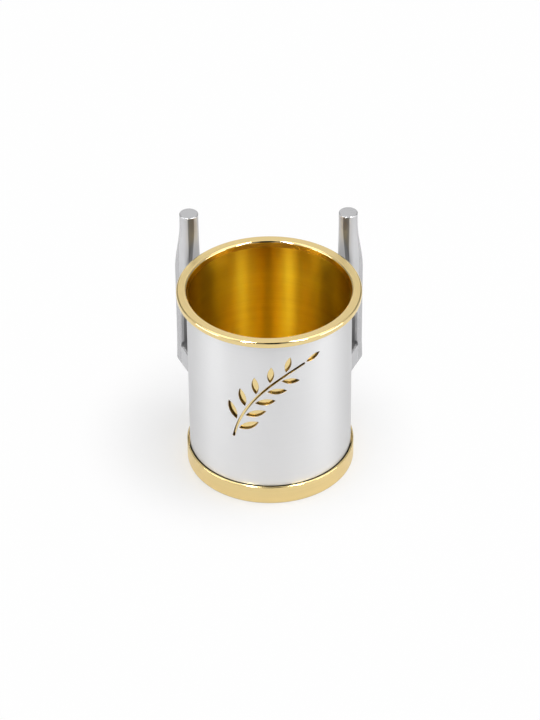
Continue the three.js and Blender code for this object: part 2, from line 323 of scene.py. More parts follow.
sprig = {
    "acrossShare": -0.316,  # where the stem starts, as a share of its length
    "heightShare": 0.331,  # and as a share of the wall between base ring and rim
    "stemShare": 0.662,  # the stem's length, as a share of that wall
    "startLean": 78,  # degrees from level
    "turn": -54,  # how far the stem turns on its way
    "slot": 0.0015,
    "bridge": 0.00125,  # the metal left between stem and leaf
    "perSide": 5,
    "firstShare": 0.1,  # along the stem
    "stepShare": 0.165,
    "shiftShare": 0.08,  # how much later the leaves of the second side start
    "leafShare": 0.197,  # a leaf's length, as a share of the stem's
    "leafWidthShare": 0.347,
    "leafLean": 44,
    "tipShare": 0.7,  # the size of the leaf at the tip
    "stemSteps": 70,
    "endSteps": 12,
    "leafSteps": 26,
}

sheet = {
    "wall": 0.0008,
    "cutRound": 0.00012,  # how far the cut edges are eased
    "columns": 240,
    "rows": 44,
    "clearance": 0.0006,  # grid points keep this far from a cut
    "screwHole": 0.00305,
    "screwSteps": 32,
    "sharpest": 0.4,  # at sharp points an outline moves by no more than one over this
    "tolerance": 1e-6,  # of the triangles, in millimetres
}


def stemLength():
    # the wall between base ring and rim, times the stem's share of it
    return (rimFrame["bottom"] - baseFrame["top"]) * sprig["stemShare"]


def stemPlace(share):
    # a circle's arc by its share: the heading turns evenly from its start, and the place is
    # the start plus the arc's sine and cosine steps
    wall = rimFrame["bottom"] - baseFrame["top"]
    length = stemLength()
    start = math.radians(sprig["startLean"])
    heading = start + math.radians(sprig["turn"]) * share
    bend = length / math.radians(sprig["turn"])
    across = length * sprig["acrossShare"] + bend * (np.sin(heading) - math.sin(start))
    foot = baseFrame["top"] + wall * sprig["heightShare"]
    height = foot - bend * (np.cos(heading) - math.cos(start))
    return across, height, heading


def stemOutline():
    # half the slot's width to either side of the stem, with a half circle at each end
    half = sprig["slot"] / 2
    share = np.linspace(0, 1, sprig["stemSteps"] + 1)
    swing = np.linspace(-90, 90, sprig["endSteps"] + 1)[1:-1]
    places = np.concatenate([share, np.ones_like(swing), share[::-1], np.zeros_like(swing)])
    turns = np.concatenate([np.full_like(share, -90), swing, np.full_like(share, 90), swing + 180])
    across, height, heading = stemPlace(places)
    angle = heading + np.radians(turns)
    return np.column_stack([across + half * np.cos(angle), height + half * np.sin(angle)])


def leafOutline(across, height, heading, scale):
    # two circular arcs that meet in points, along the leaf's own heading
    length = stemLength() * sprig["leafShare"] * scale
    bulge = length * sprig["leafWidthShare"] / 2
    arcRadius = (length * length / 4 + bulge * bulge) / (2 * bulge)
    halfAngle = math.asin(length / 2 / arcRadius)
    angle = halfAngle * np.linspace(-1, 1, sprig["leafSteps"] + 1)[:-1]
    along = length / 2 + arcRadius * np.sin(angle)
    aside = arcRadius * np.cos(angle) - (arcRadius - bulge)
    x = np.concatenate([along, length - along])
    y = np.concatenate([-aside, aside])
    cosine, sine = math.cos(heading), math.sin(heading)
    return np.column_stack([across + (x * cosine - y * sine), height + (x * sine + y * cosine)])


def sprigOutlines():
    # the stem, a row of leaves on each side that shrink along it, and one leaf at its tip
    outlines = [stemOutline()]
    off = sprig["slot"] / 2 + sprig["bridge"]
    for side, shift in ((-1, 0), (1, sprig["shiftShare"])):
        for i in range(sprig["perSide"]):
            share = sprig["firstShare"] + sprig["stepShare"] * i + shift
            across, height, heading = stemPlace(share)
            outlines.append(leafOutline(
                across - side * off * math.sin(heading),
                height + side * off * math.cos(heading),
                heading + side * math.radians(sprig["leafLean"]),
                1 + (sprig["tipShare"] - 1) * share,
            ))
    across, height, heading = stemPlace(1)
    tip = (across + off * math.cos(heading), height + off * math.sin(heading))
    outlines.append(leafOutline(*tip, heading, sprig["tipShare"]))
    return outlines


def screwOutlines():
    # a circle at the middle of each screw, whose angle round the cup becomes a distance across
    angle = np.linspace(0, turn, sheet["screwSteps"] + 1)[:-1]
    circle = sheet["screwHole"] * np.column_stack([np.cos(angle), np.sin(angle)])
    outlines = []
    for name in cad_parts:
        if name.endswith("_screw"):
            low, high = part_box(name)
            place = (low + high) / 2
            around = (math.atan2(place.y, place.x) + turn / 4 + turn / 2) % turn - turn / 2
            outlines.append(circle + (around * sleeveFrame["radius"], place.z))
    return outlines


def spread(outline, distance):
    # moves each point outwards by a distance along the mean of its two edges' normals
    edge = np.roll(outline, -1, axis=0) - outline
    edge /= np.linalg.norm(edge, axis=1)[:, None]
    normal = np.column_stack([edge[:, 1], -edge[:, 0]])
    mean = normal + np.roll(normal, 1, axis=0)
    mean /= np.linalg.norm(mean, axis=1)[:, None]
    reach = np.clip((mean * normal).sum(1), sheet["sharpest"], 1)
    return outline + distance * mean / reach[:, None]


def insideOf(points, outline):
    # even-odd rule: counts the outline's edges that a line from each point to the right crosses
    x, y = points[:, 0][:, None], points[:, 1][:, None]
    x1, y1 = outline[:, 0][None, :], outline[:, 1][None, :]
    x2, y2 = np.roll(x1, -1, axis=1), np.roll(y1, -1, axis=1)
    rise = np.where(y2 == y1, 1, y2 - y1)
    crossing = ((y1 > y) != (y2 > y)) & (x < x1 + (y - y1) * (x2 - x1) / rise)
    return crossing.sum(1) % 2 == 1


def insideAny(points, outlines):
    # whether each point is inside at least one of the outlines
    return np.any([insideOf(points, outline) for outline in outlines], axis=0)


def rolled(flatPlaces, radius):
    # a point of the flat sheet on the cylinder: across divided by the sleeve's radius is its angle
    across, height = flatPlaces.T
    angle = across / sleeveFrame["radius"] - turn / 4
    return np.column_stack([radius * np.cos(angle), radius * np.sin(angle), height])


def makeSleeve():
    # grid points and cut outlines are joined into flat triangles, those inside a cut are dropped,
    # and the sheet is rolled twice, as the outer and the inner skin, with walls along its edges
    radius, bottom, top = sleeveFrame["radius"], sleeveFrame["bottom"], sleeveFrame["top"]
    cuts = sprigOutlines() + screwOutlines()
    wide = [spread(cut, sheet["cutRound"]) for cut in cuts]
    edgePoints, widePoints = np.vstack(cuts), np.vstack(wide)

    across = np.linspace(-turn / 2 * radius, turn / 2 * radius, sheet["columns"] + 1)
    heights = np.linspace(bottom, top, sheet["rows"] + 1)
    grid = np.stack(np.meshgrid(across, heights), -1)
    inner = grid[1:-1].reshape(-1, 2)
    near = insideAny(inner, wide)
    for cut in wide:
        gap = np.linalg.norm(inner[:, None, :] - cut[None, :, :], axis=2).min(1)
        near |= gap < sheet["clearance"]
    flatPoints = np.vstack([widePoints, grid[0], grid[-1], inner[~near]])

    starts = np.cumsum([0] + [len(cut) for cut in cuts])
    cutEdges = [
        (int(start + i), int(start + (i + 1) % len(cut)))
        for start, cut in zip(starts, cuts)
        for i in range(len(cut))
    ]
    found = delaunay_2d_cdt(
        [Vector(point) for point in (flatPoints / millimetre).tolist()],
        cutEdges, [], 0, sheet["tolerance"],
    )
    source = np.array([origins[0] for origins in found[3]])
    triangles = source[np.array(found[2])]
    triangles = triangles[~insideAny(flatPoints[triangles].mean(1), wide)]

    # points are the outer skin, the inner skin, and the cut edges just below the outer skin
    count, cutCount, rowLength = len(flatPoints), len(edgePoints), sheet["columns"] + 1
    innerFlat = flatPoints.copy()
    innerFlat[:cutCount] = edgePoints
    points = np.vstack([
        rolled(flatPoints, radius),
        rolled(innerFlat, radius - sheet["wall"]),
        rolled(edgePoints, radius - sheet["cutRound"]),
    ])
    first, second = np.array(cutEdges).T
    eased = [first, second, second + 2 * count, first + 2 * count]
    wall = [first + 2 * count, second + 2 * count, second + count, first + count]
    quads = [eased, wall]
    for rowStart in (cutCount, cutCount + rowLength):
        row = rowStart + np.arange(rowLength - 1)
        quads.append([row, row + 1, row + 1 + count, row + count])
    faces = [*triangles.tolist(), *(triangles[:, ::-1] + count).tolist()]
    for corners in quads:
        faces.extend(np.column_stack(corners).tolist())
    flat = np.vstack([flatPoints, innerFlat, edgePoints]) / (turn * radius)
    piece = makePiece("sleeve", points, faces, flat)
    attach(piece, "root")
    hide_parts("outer_sleeve")
    return piece


# the handles: a sloping foot, a flat neck, a scoop to the thicker grip and a round top

handle = {
    "sweepBack": 45,  # degrees from the side towards the back
    "reach": 0.0276,
    "width": 0.014,
    "edgeRound": 0.0018,
    "neck": 0.0054,
    "grip": 0.011,
    "endDiameter": 0.0122,
    "endInset": 0.0018,
    "endRound": 0.0006,
    "footAboveBase": 0.0062,
    "footSeat": 0.0144,
    "lowerSlope": 34.6,
    "upperSlope": 38.7,
    "neckEndShare": 0.16,  # shares of the bar's height
    "scoopEndShare": 0.5,
    "shoulderShare": 0.58,
    "roundEndShare": 0.93,
    "heelRound": 0.0012,
    "seatGap": 0.0003,
    "closingRings": (0.6, 0.25, 0),  # what each ring that closes an end keeps of its size
    "cornerSteps": 9,
    "heelSteps": 5,
    "barSteps": 64,
    "endSteps": 5,
}


def smoothStep(value, start, end):
    # three times the share squared, less twice its cube
    share = np.clip((value - start) / (end - start), 0, 1)
    return share * share * (3 - 2 * share)


def footSlope():
    # where the foot's upper slope leaves the sleeve, and its rise for each metre outwards
    seatTop = baseFrame["top"] + handle["footAboveBase"] + handle["footSeat"]
    return seatTop, math.tan(math.radians(handle["upperSlope"]))


def handleSections():
    # each section has an inner and an outer point, [distance from the cup's axis, height], a half
    # width and a corner size, all as arrays along the path
    sleeveRadius = sleeveFrame["radius"]
    outer = sleeveRadius + handle["reach"]
    low = baseFrame["top"] + handle["footAboveBase"]
    high, upperRise = footSlope()
    lower, upper = math.radians(handle["lowerSlope"]), math.radians(handle["upperSlope"])
    neckInner = outer - handle["neck"]
    heel = np.array([outer, low + handle["reach"] * math.tan(lower)])
    neckStart = np.array([neckInner, high + (handle["reach"] - handle["neck"]) * upperRise])
    rising = np.array([0, 1])

    def eased(corner, slope):
        # a short parabola between the two straight runs that meet at a corner
        coming = np.array([math.cos(slope), math.sin(slope)])
        share = np.linspace(0, 1, handle["heelSteps"] + 1)[:, None]
        before = corner - handle["heelRound"] * coming
        after = corner + handle["heelRound"] * rising
        return (1 - share) ** 2 * before + 2 * share * (1 - share) * corner + share ** 2 * after

    innerHeel, outerHeel = eased(neckStart, upper), eased(heel, lower)
    barStart = neckStart[1]
    bar = handleTop - barStart
    height = np.linspace(
        barStart + 2 * handle["heelRound"], handleTop - handle["endRound"], handle["barSteps"])
    scoop = smoothStep(
        height, barStart + bar * handle["neckEndShare"], barStart + bar * handle["scoopEndShare"])
    rounding = smoothStep(
        height, barStart + bar * handle["shoulderShare"], barStart + bar * handle["roundEndShare"])
    barOuter = outer - handle["endInset"] * rounding
    thickness = handle["neck"] + (handle["grip"] - handle["neck"]) * scoop
    thickness = thickness + (handle["endDiameter"] - thickness) * rounding
    end, half = handle["endDiameter"] / 2, handle["width"] / 2
    halfWidth = half + (end - half) * rounding
    corner = handle["edgeRound"] + (end - handle["edgeRound"]) * rounding

    swing = np.linspace(0, math.pi / 2, handle["endSteps"] + 1)[1:]
    inset = handle["endRound"] * (1 - np.cos(swing))
    endHeight = handleTop - handle["endRound"] * (1 - np.sin(swing))

    def footStart(heelStart, slope):
        # back down the slope from the heel to the sleeve
        return heelStart - (heelStart[0] - sleeveRadius) * np.array([1, math.tan(slope)])

    inner = np.vstack([
        footStart(innerHeel[0], upper), innerHeel,
        np.column_stack([barOuter - thickness, height]),
        np.column_stack([barOuter[-1] - thickness[-1] + inset, endHeight]),
    ])
    outerPoints = np.vstack([
        footStart(outerHeel[0], lower), outerHeel,
        np.column_stack([barOuter, height]),
        np.column_stack([barOuter[-1] - inset, endHeight]),
    ])
    plain = np.ones(len(innerHeel) + 1)
    halfWidths = np.concatenate([plain * half, halfWidth, end - inset])
    corners = np.concatenate([plain * handle["edgeRound"], corner, end - inset])
    return inner, outerPoints, halfWidths, corners


def makeHandle(name, side):
    # the surface is a rounded rectangle, carried along the sections: each corner is a quarter
    # circle about its own centre, and straight sides join them
    inner, outer, halfWidth, corner = handleSections()
    steps = handle["cornerSteps"]
    quarter = np.repeat(np.arange(4), steps + 1)
    angle = (quarter + np.tile(np.arange(steps + 1) / steps, 4)) * math.pi / 2
    outSide = np.where((quarter == 0) | (quarter == 3), 1, -1)
    leftSide = np.where(quarter < 2, 1, -1)
    span = outer - inner
    halfDepth = np.linalg.norm(span, axis=1) / 2
    outwards = span / (2 * halfDepth[:, None])
    size = np.minimum(np.minimum(corner, halfDepth), halfWidth)[:, None]
    out = (halfDepth[:, None] - size) * outSide + size * np.cos(angle)
    aside = (halfWidth[:, None] - size) * leftSide + size * np.sin(angle)
    centre = (inner + outer) / 2
    distance = centre[:, 0][:, None] + out * outwards[:, 0][:, None]
    height = centre[:, 1][:, None] + out * outwards[:, 1][:, None]

    def onSleeve(aside):
        # the distance from the axis at which a point of the foot touches the round sleeve
        return np.sqrt((sleeveFrame["radius"] + handle["seatGap"]) ** 2 - aside ** 2)

    # the foot's first ring slides along the foot until it lies on the sleeve
    seat = onSleeve(aside[0])
    slope = (height[1] - height[0]) / (distance[1] - distance[0])
    height[0] += slope * (seat - distance[0])
    distance[0] = seat

    def shrunk(ring, shares):
        # the ring's middle plus each share of the way out to the ring
        return ring.mean() + (ring - ring.mean()) * shares

    # each end is closed by rings that shrink to its middle
    closing = np.array(handle["closingRings"])[:, None]
    start = [shrunk(value[0], closing[::-1]) for value in (distance, aside, height)]
    start[0] = onSleeve(start[1])
    end = [shrunk(value[-1], closing) for value in (distance, aside, height)]
    distance, aside, height = (
        np.vstack([first, middle, last])
        for first, middle, last in zip(start, (distance, aside, height), end)
    )
    wrap = np.r_[np.arange(distance.shape[1]), 0]
    distance, aside, height = distance[:, wrap], aside[:, wrap], height[:, wrap]
    swing = math.radians(handle["sweepBack"] if side > 0 else 180 - handle["sweepBack"])
    points = np.stack([
        distance * math.cos(swing) - aside * math.sin(swing),
        distance * math.sin(swing) + aside * math.cos(swing),
        height,
    ], -1)
    along = np.linspace(0, 1, points.shape[0])[:, None]
    around = np.linspace(0, 1, points.shape[1])[None, :]
    piece = makeGridPiece(name, points, along, around)
    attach(piece, "root")
    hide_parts("right_handle" if side > 0 else "left_handle")
    return piece


linerCup = makeLiner()
rimRing = makeRim()
baseRing = makeBaseRing()
basePlate = makeBasePlate()
print("turned pieces made")
sleeve = makeSleeve()
print("sleeve pierced and rolled")
handles = [makeHandle("leftHandle", -1), makeHandle("rightHandle", 1)]
print("handles lofted")


# finishes: what more than one metal shares is a node group

def link(tree, output, socket):
    tree.links.new(output, socket)


def makeGroup(name, inputs, outputs):
    # an empty group with named inputs, which have plain values, and named outputs
    tree = bpy.data.node_groups.new(name, "ShaderNodeTree")
    for label, value in inputs.items():
        socket = tree.interface.new_socket(
            name=label, in_out="INPUT", socket_type="NodeSocketFloat")
        socket.default_value = value
    for label in outputs:
        tree.interface.new_socket(name=label, in_out="OUTPUT", socket_type="NodeSocketFloat")
    return tree, tree.nodes.new("NodeGroupInput").outputs, tree.nodes.new("NodeGroupOutput").inputs


def placeGroup(tree, group, values):
    # a group placed in a material, with the material's own values
    node = tree.nodes.new("ShaderNodeGroup")
    node.node_tree = group
    for label, value in values.items():
        node.inputs[label].default_value = value
    return node.outputs


def mathNode(tree, operation, *values):
    # each value is a number or another node's output
    node = tree.nodes.new("ShaderNodeMath")
    node.operation = operation
    for socket, value in zip(node.inputs, values):
        if isinstance(value, (int, float)):
            socket.default_value = value
        else:
            link(tree, value, socket)
    return node.outputs[0]


def product(tree, first, *others):
    # all the values multiplied, one after the other
    for other in others:
        first = mathNode(tree, "MULTIPLY", first, other)
    return first


def mapRange(tree, value, fromRange, toRange, interpolation="LINEAR"):
    # a value's place in one range becomes the same place in another
    node = tree.nodes.new("ShaderNodeMapRange")
    node.interpolation_type = interpolation
    labels = ("From Min", "From Max", "To Min", "To Max")
    for label, number in zip(labels, (*fromRange, *toRange)):
        node.inputs[label].default_value = number
    link(tree, value, node.inputs["Value"])
    return node.outputs["Result"]


def mixColour(tree, factor, first, second, blend="MIX"):
    # each colour is a tuple or another node's output
    node = tree.nodes.new("ShaderNodeMix")
    node.data_type = "RGBA"
    node.blend_type = blend
    link(tree, factor, node.inputs["Factor"])
    for label, value in (("A", first), ("B", second)):
        if isinstance(value, tuple):
            node.inputs[label].default_value = (*value, 1)
        else:
            link(tree, value, node.inputs[label])
    return node.outputs["Result"]


def objectPlace(tree):
    # the place on the object, as x, y and z
    split = tree.nodes.new("ShaderNodeSeparateXYZ")
    link(tree, tree.nodes.new("ShaderNodeTexCoord").outputs["Object"], split.inputs[0])
    return split.outputs


def scaledNoise(tree, values, scales, detail):
    # noise at a place whose three parts are each multiplied by a scale
    vector = tree.nodes.new("ShaderNodeCombineXYZ")
    for socket, value, scale in zip(vector.inputs, values, scales):
        link(tree, mathNode(tree, "MULTIPLY", value, scale), socket)
    node = tree.nodes.new("ShaderNodeTexNoise")
    node.inputs["Scale"].default_value = 1
    node.inputs["Detail"].default_value = detail
    link(tree, vector.outputs[0], node.inputs["Vector"])
    return node.outputs["Fac"]


def makeGrain(name, values, turned):
    # fine lines, round the axis on a turned piece or up and down on a drawn bar, and soft clouds
    tree, inputs, outputs = makeGroup(name, values, ["Lines", "Clouds"])
    x, y, z = objectPlace(tree)
    fine, drift = inputs["Lines per metre"], inputs["Drift per metre"]
    if turned:
        # radius plus height grows along walls, floors and slopes alike
        squares = mathNode(tree, "ADD", product(tree, x, x), product(tree, y, y))
        along = mathNode(tree, "ADD", mathNode(tree, "SQRT", squares), z)
        lines = scaledNoise(tree, (x, y, along), (drift, drift, fine), detail=2)
    else:
        lines = scaledNoise(tree, (x, y, z), (fine, fine, drift), detail=2)
    link(tree, lines, outputs["Lines"])
    clouds = scaledNoise(tree, (x, y, z), [inputs["Clouds per metre"]] * 3, detail=3)
    link(tree, clouds, outputs["Clouds"])
    return tree


def makeHeightBand():
    # one between two heights and nought outside them, with soft edges
    tree, inputs, outputs = makeGroup(
        "heightBand", {"Bottom": 0, "Top": 1, "Softness": 0.001}, ["Mask"])
    height = objectPlace(tree)["Z"]
    ends = []
    for upper, lower in ((height, inputs["Bottom"]), (inputs["Top"], height)):
        above = mathNode(tree, "SUBTRACT", upper, lower)
        share = mathNode(tree, "ADD", mathNode(tree, "DIVIDE", above, inputs["Softness"]), 0.5)
        ends.append(mathNode(tree, "MINIMUM", mathNode(tree, "MAXIMUM", share, 0), 1))
    link(tree, product(tree, *ends), outputs["Mask"])
    return tree


turnedGrain = makeGrain(
    "turnedGrain", {"Lines per metre": 2000, "Drift per metre": 14, "Clouds per metre": 60}, True)
drawnGrain = makeGrain(
    "drawnGrain", {"Lines per metre": 1500, "Drift per metre": 25, "Clouds per metre": 70}, False)
heightBand = makeHeightBand()


def innerFaceShadeMask(tree, dullingAndShade):
    # a handle's inner face between two distances from its middle line: for both handles, the
    # distance outwards is (|x| + y) over the root of two, and the one aside is (|x| - y) over it
    # it returns that face, and on it the painted shade: the dark stripe and the foot corner
    x, y, z = objectPlace(tree)
    x = mathNode(tree, "ABSOLUTE", x)
    outwards = mathNode(tree, "DIVIDE", mathNode(tree, "ADD", x, y), math.sqrt(2))
    aside = mathNode(tree, "DIVIDE", mathNode(tree, "SUBTRACT", x, y), math.sqrt(2))

    # masks that rise smoothly from a start, or fall smoothly towards an end
    def above(value, start, softness):
        return mapRange(tree, value, (start, start + softness), (0, 1), "SMOOTHSTEP")

    def under(value, end, softness):
        return above(mathNode(tree, "SUBTRACT", end, value), 0, softness)

    soft = dullingAndShade["softness"]
    inside = product(
        tree, under(outwards, dullingAndShade["outwards"], soft), under(z, dullingAndShade["top"], soft))
    # painted shade in the corner between foot and neck, above the line of the foot's upper slope
    seatTop, slope = footSlope()
    start = seatTop - slope * sleeveFrame["radius"]
    line = mathNode(tree, "ADD", mathNode(tree, "MULTIPLY", outwards, slope), start)
    overLine = mathNode(tree, "SUBTRACT", z, line)
    corner = product(
        tree, inside,
        above(overLine, -dullingAndShade["cornerDepth"], dullingAndShade["cornerDepth"] / 2),
        under(z, dullingAndShade["cornerTop"], dullingAndShade["cornerSoftness"]),
    )
    # the stripe, a painted reflection of the cup's shaded side: beside the middle line, from the
    # neck's start upwards
    neckStart = seatTop + slope * (handle["reach"] - handle["neck"])
    stripe = product(
        tree, inside,
        above(aside, dullingAndShade["from"] - soft, 2 * soft),
        under(aside, dullingAndShade["to"] + soft, 2 * soft),
        above(z, neckStart, 4 * soft),
    )
    return inside, mathNode(tree, "MAXIMUM", stripe, corner)


def makeMetal(name, look):
    # a metal whose grain moves its roughness and colour a little and raises a very low bump
    material = bpy.data.materials.new(name)
    material.use_nodes = True
    tree = material.node_tree
    shader = tree.nodes["Principled BSDF"]
    grain = placeGroup(tree, look["grain"], look.get("grainSet", {}))
    lines, clouds = grain["Lines"], grain["Clouds"]

    def around(value, middle, change):
        # nought to one becomes the middle less the change to the middle plus the change
        return mapRange(tree, value, (0, 1), (middle - change, middle + change))

    roughness = mathNode(
        tree, "ADD",
        around(lines, look["roughness"], look["lineRoughness"]),
        around(clouds, 0, look["cloudRoughness"]),
    )
    colour = mixColour(tree, lines, look["darkColour"], look["colour"])

    def shaded(colour, mask, strength):
        # the colour moves towards its product with the shade colour where the mask is one
        shade = look.get("shadeColour", (0, 0, 0))
        return mixColour(tree, product(tree, mask, strength), colour, shade, "MULTIPLY")

    if "rings" in look:
        rings = placeGroup(tree, look["grain"], look["rings"])
        colour = shaded(colour, rings["Lines"], look["ringStrength"])
    # bands of painted shade, by height
    for bottom, top, softness, strength in look.get("shades", []):
        values = {"Bottom": bottom, "Top": top, "Softness": softness}
        colour = shaded(colour, placeGroup(tree, heightBand, values)["Mask"], strength)
    if "dullingAndShade" in look:
        inside, stripe = innerFaceShadeMask(tree, look["dullingAndShade"])
        dulled = product(tree, inside, look["dullingAndShade"]["dull"])
        roughness = mathNode(tree, "ADD", roughness, dulled)
        # the painted dark stripe and the corner's painted shade
        colour = shaded(colour, stripe, look["dullingAndShade"]["strength"])
    link(tree, roughness, shader.inputs["Roughness"])
    link(tree, colour, shader.inputs["Base Color"])
    bump = tree.nodes.new("ShaderNodeBump")
    bump.inputs["Strength"].default_value = look["bump"]
    bump.inputs["Distance"].default_value = look["bumpHeight"]
    link(tree, lines, bump.inputs["Height"])
    link(tree, bump.outputs["Normal"], shader.inputs["Normal"])
    shader.inputs["Metallic"].default_value = 1
    shader.inputs["Specular Tint"].default_value = (*look.get("edgeTint", (1, 1, 1)), 1)
    if "anisotropy" in look:
        tangent = tree.nodes.new("ShaderNodeTangent")
        tangent.direction_type = "UV_MAP"
        tangent.uv_map = "metalMap"
        link(tree, tangent.outputs["Tangent"], shader.inputs["Tangent"])
        shader.inputs["Anisotropic"].default_value = look["anisotropy"]
        shader.inputs["Anisotropic Rotation"].default_value = 0.25  # streaks across the grain
    if "haze" in look:
        shader.inputs["Coat Weight"].default_value = look["haze"]
        shader.inputs["Coat Roughness"].default_value = look["hazeRoughness"]
        shader.inputs["Coat IOR"].default_value = look["hazeIor"]
    return material


# shades are bands of painted shade: bottom, top, softness and strength of each
polishedBrass = makeMetal("polishedBrass", {
    "grain": turnedGrain, "grainSet": {"Lines per metre": 1400},
    "colour": (0.9, 0.71, 0.35), "darkColour": (0.86, 0.67, 0.31),
    "roughness": 0.08, "lineRoughness": 0.03, "cloudRoughness": 0.02,
    "bump": 0.03, "bumpHeight": 0.00002,
    "shades": [(-1, 0.0006, 0.0008, 0.6)],  # painted contact shadow, down where the foot meets the table
})
satinBrass = makeMetal("satinBrass", {
    "grain": turnedGrain, "grainSet": {"Lines per metre": 1400},
    "colour": (0.85, 0.67, 0.33), "darkColour": (0.79, 0.61, 0.28),
    "roughness": 0.36, "lineRoughness": 0.05, "cloudRoughness": 0.03,
    "bump": 0.08, "bumpHeight": 0.00002, "anisotropy": 0.3,
})
giltBore = makeMetal("giltBore", {
    "grain": turnedGrain, "grainSet": {"Lines per metre": 900},
    "colour": (0.87, 0.645, 0.03), "darkColour": (0.82, 0.59, 0.02),
    "roughness": 0.31, "lineRoughness": 0.03, "cloudRoughness": 0.02,
    "bump": 0.02, "bumpHeight": 0.00002, "anisotropy": 0.96,
    "rings": {"Lines per metre": 240, "Drift per metre": 8}, "ringStrength": 0.16,
    "edgeTint": (0.45, 0.25, 0.1), "shadeColour": (0.3, 0, 0),
    "shades": [(0.116, 1, 0.024, 0.42)],  # painted shade under the lip, darker and redder towards the mouth
})
giltLip = makeMetal("giltLip", {
    "grain": turnedGrain, "grainSet": {"Lines per metre": 900},
    "colour": (0.62, 0.38, 0.04), "darkColour": (0.56, 0.33, 0.03),
    "roughness": 0.2, "lineRoughness": 0.05, "cloudRoughness": 0.03,
    "bump": 0.1, "bumpHeight": 0.00003,
})
brushedNickel = makeMetal("brushedNickel", {
    "grain": turnedGrain, "grainSet": {"Lines per metre": 1600},
    "colour": (0.76, 0.76, 0.765), "darkColour": (0.73, 0.73, 0.735),
    "roughness": 0.42, "lineRoughness": 0.03, "cloudRoughness": 0.02,
    "bump": 0.04, "bumpHeight": 0.00002, "anisotropy": 0.5, "edgeTint": (0.84, 0.84, 0.84),
    "shades": [
        (0, baseFrame["top"] + 0.0004, 0.0003, 0.95),  # painted shade down in the gap behind the base ring
        (rimFrame["bottom"] - 0.0006, 1, 0.0008, 0.35),  # painted shade up under the rim's overhang
    ],
})
# the cut walls' dark brown is painted shade, where the cuts look into the gap behind
cutEdge = makeMetal("cutEdge", {
    "grain": turnedGrain,
    "colour": (0.3, 0.21, 0.08), "darkColour": (0.24, 0.16, 0.06),
    "roughness": 0.4, "lineRoughness": 0.03, "cloudRoughness": 0.03,
    "bump": 0.05, "bumpHeight": 0.00002,
})
polishedSteel = makeMetal("polishedSteel", {
    "grain": drawnGrain,
    "colour": (0.52, 0.52, 0.53), "darkColour": (0.48, 0.48, 0.49),
    "roughness": 0.15, "lineRoughness": 0.04, "cloudRoughness": 0.02,
    "bump": 0.05, "bumpHeight": 0.00002, "haze": 1, "hazeRoughness": 0.5, "hazeIor": 2.1,
    "dullingAndShade": {  # the handles' inner faces are duller, with a painted dark reflection as a stripe and painted shade in the foot corner
        "outwards": 0.0754, "top": handleTop - 0.0006, "softness": 0.0002, "dull": 0.4,
        "from": 0.0012, "to": 0.0047, "strength": 0.84,
        "cornerTop": 0.0545, "cornerSoftness": 0.0016, "cornerDepth": 0.002,
    },
})


# which faces of a piece wear which metal

dressing = {
    "linerOutside": 0.5,  # faces that point outwards more than this
    "cutWall": 0.9,  # faces that point outwards or inwards less than this
    "flatWithin": 0.00001,  # of the rim's top
    "wallWithin": 0.00002,  # of the base ring's outer radius
}


def faceFacts(piece):
    # each face's distance from the axis, its height, and how far it points away from the axis
    faces = piece.data.polygons
    centre = np.empty(len(faces) * 3)
    normal = np.empty(len(faces) * 3)
    faces.foreach_get("center", centre)
    faces.foreach_get("normal", normal)
    centre, normal = centre.reshape(-1, 3), normal.reshape(-1, 3)
    radius = np.hypot(centre[:, 0], centre[:, 1])
    outwards = (centre[:, :2] * normal[:, :2]).sum(1) / radius
    return {"radius": radius, "height": centre[:, 2], "outwards": outwards}


def wear(piece, metals, choice=0):
    # a piece's metals, and for each face the number of the one it wears
    for metal in metals:
        piece.data.materials.append(metal)
    count = len(piece.data.polygons)
    numbers = np.broadcast_to(choice, count).astype(np.int32)
    piece.data.polygons.foreach_set("material_index", numbers)


def dressLiner():
    # deep brushed gold inside, and outside the paler polished gold of the rings
    outside = faceFacts(linerCup)["outwards"] > dressing["linerOutside"]
    wear(linerCup, [giltBore, polishedBrass], outside)


def dressRim():
    # deep gold between throat and lip, a satin flat top, and the rest polished
    faces = faceFacts(rimRing)
    bore = linerFrame["radius"] - liner["wall"]
    inside = (faces["radius"] > bore + liner["bell"]) & (faces["radius"] < bore + rim["flare"])
    inside &= faces["height"] > rimFrame["bottom"]
    inside &= faces["height"] < rimFrame["top"] - rim["lipRound"]
    flatTop = faces["height"] > rimFrame["top"] - dressing["flatWithin"]
    wear(rimRing, [polishedBrass, giltLip, satinBrass], np.where(flatTop, 2, inside))


def dressBase():
    # a satin outer wall between polished edges
    faces = faceFacts(baseRing)
    wall = faces["radius"] > baseFrame["radius"] - dressing["wallWithin"]
    wall &= faces["height"] > base["footRound"]
    wall &= faces["height"] < baseFrame["top"] - base["topRound"]
    wear(baseRing, [polishedBrass, satinBrass], wall)
    wear(basePlate, [polishedBrass])


def dressSleeve():
    # dark cut walls and edges: painted shade of the cuts
    cut = np.abs(faceFacts(sleeve)["outwards"]) < dressing["cutWall"]
    wear(sleeve, [brushedNickel, cutEdge], cut)


dressLiner()
dressRim()
dressBase()
dressSleeve()
for piece in handles:
    wear(piece, [polishedSteel])
for name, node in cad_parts.items():
    if name.endswith("_screw"):
        node.data.materials.clear()
        node.data.materials.append(polishedSteel)
print("finishes set")


# the stage: a pale floor, grey and dark cards, soft lamps and an even world

stage = {
    "floorSize": 12,
    "floorColour": (0.84, 0.84, 0.845),
    "floorWhite": (0.52, 0.97),  # how far the camera sees the floor as white, near and away
    "floorWhiteReach": (0.05, 0.12),  # distances from the middle of the shadow
    "shadowMiddle": (-0.012, 0.02, 0),
    "floorGlossWhite": 0.5,
    "worldLevel": 0.66,
    "lampDistance": 1.5,
}

